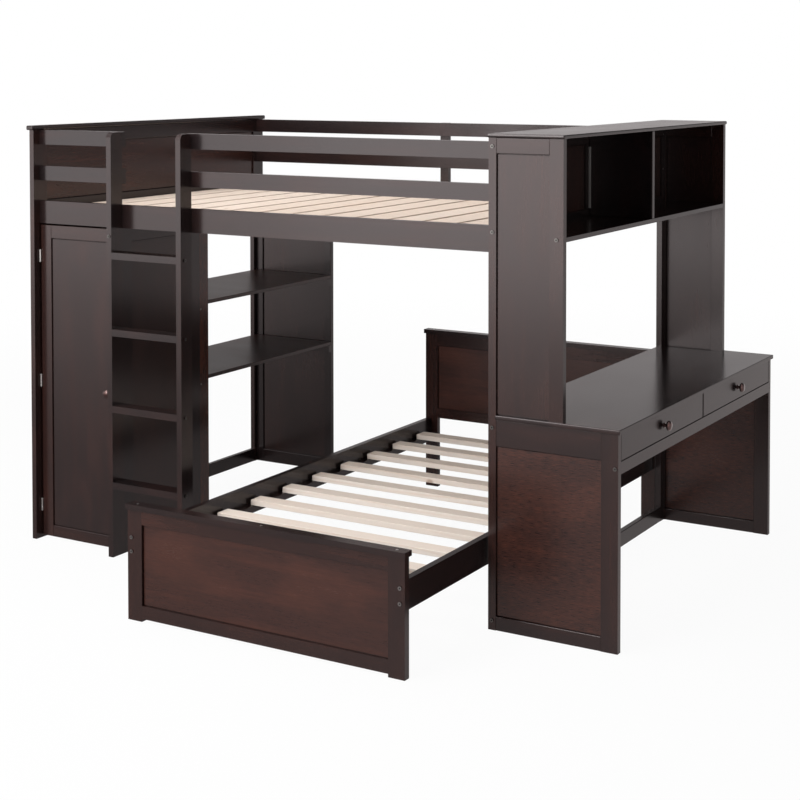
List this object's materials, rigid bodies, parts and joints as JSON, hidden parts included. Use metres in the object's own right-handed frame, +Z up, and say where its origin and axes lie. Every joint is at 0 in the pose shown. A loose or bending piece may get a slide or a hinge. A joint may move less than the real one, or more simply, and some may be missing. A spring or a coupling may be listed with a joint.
{
  "type": "loft bed",
  "caption": "Loft bed with wardrobe, open shelves, ladder, desk with drawers and bookcase, and a separate low bed standing crosswise beneath.",
  "frame": {"origin": "middle of the footprint of the loft and the low bed together, on the floor", "axes": "+X along the loft from the wardrobe to the desk, +Y from the ladder side to the rear, +Z up"},
  "size_m": [2.419, 2.005, 1.577],
  "materials": {
    "dark_wood": "satin lacquer",
    "dark_veneer": "satin lacquer",
    "pine": "raw",
    "steel": "satin",
    "bronze": "satin"
  },
  "bodies": {
    "loft_frame": {"left_end_posts": "dark_wood", "left_end_rails": "dark_wood", "left_end_cap": "dark_wood", "left_end_panels": "dark_veneer", "side_rails": "dark_wood", "front_guard_rails": "dark_wood", "rear_guard_rails": "dark_wood", "rear_guard_batten": "dark_wood", "deck_bearers": "pine", "deck_slats": "pine", "ladder_posts": "dark_wood", "ladder_rungs": "dark_wood", "wardrobe_side_frame": "dark_wood", "wardrobe_side_panel": "dark_veneer", "wardrobe_back": "dark_veneer", "wardrobe_floor": "dark_wood", "hanging_rail": "steel", "rail_sockets": "steel", "door_catch": "steel", "hinge_frame_leaves": "steel", "hinge_pins": "steel", "shelf_unit_post": "dark_wood", "shelf_boards": "dark_wood", "shelf_cleats": "dark_wood", "rear_end_frame": "dark_wood", "rear_end_panel": "dark_veneer", "tower_posts": "dark_wood", "tower_rails": "dark_wood", "bookcase_back": "dark_veneer", "tower_side_posts": "dark_wood", "tower_side_rails": "dark_wood", "bookcase_side_panels": "dark_veneer", "desk_side_panels": "dark_veneer", "bookcase_top": "dark_wood", "bookcase_shelf": "dark_wood", "bookcase_divider": "dark_wood", "desk_top": "dark_wood", "desk_apron": "dark_wood", "drawer_runners": "dark_wood", "frame_bolts": "steel", "frame_screws": "steel"},
    "wardrobe_door": {"door_frame": "dark_wood", "door_panel": "dark_veneer", "door_knob": "bronze", "hinge_door_leaves": "steel"},
    "drawer_left": {"drawer_left_front": "dark_wood", "drawer_left_box": "pine", "drawer_left_knob": "bronze"},
    "drawer_right": {"drawer_right_front": "dark_wood", "drawer_right_box": "pine", "drawer_right_knob": "bronze"},
    "twin_bed": {"twin_posts": "dark_wood", "twin_end_rails": "dark_wood", "twin_end_panels": "dark_veneer", "twin_caps": "dark_wood", "twin_side_rails": "dark_wood", "twin_cleats": "dark_wood", "twin_slats": "pine", "twin_bolts": "steel", "twin_screws": "steel"}
  },
  "joints": [
    {"name": "wardrobe_door_hinge", "type": "hinge", "parent": "loft_frame", "child": "wardrobe_door", "pos_m": [-1.1792, -0.4588, 0.599], "axis": [0, 0, -1], "range_deg": [0, 95]},
    {"name": "drawer_left_slide", "type": "slide", "parent": "loft_frame", "child": "drawer_left", "axis": [1, 0, 0], "range_m": [0, 0.25]},
    {"name": "drawer_right_slide", "type": "slide", "parent": "loft_frame", "child": "drawer_right", "axis": [1, 0, 0], "range_m": [0, 0.25]},
    {"name": "twin_bed_slide", "type": "slide", "parent": "loft_frame", "child": "twin_bed", "axis": [0, -1, 0], "range_m": [0, 1.2]}
  ]
}
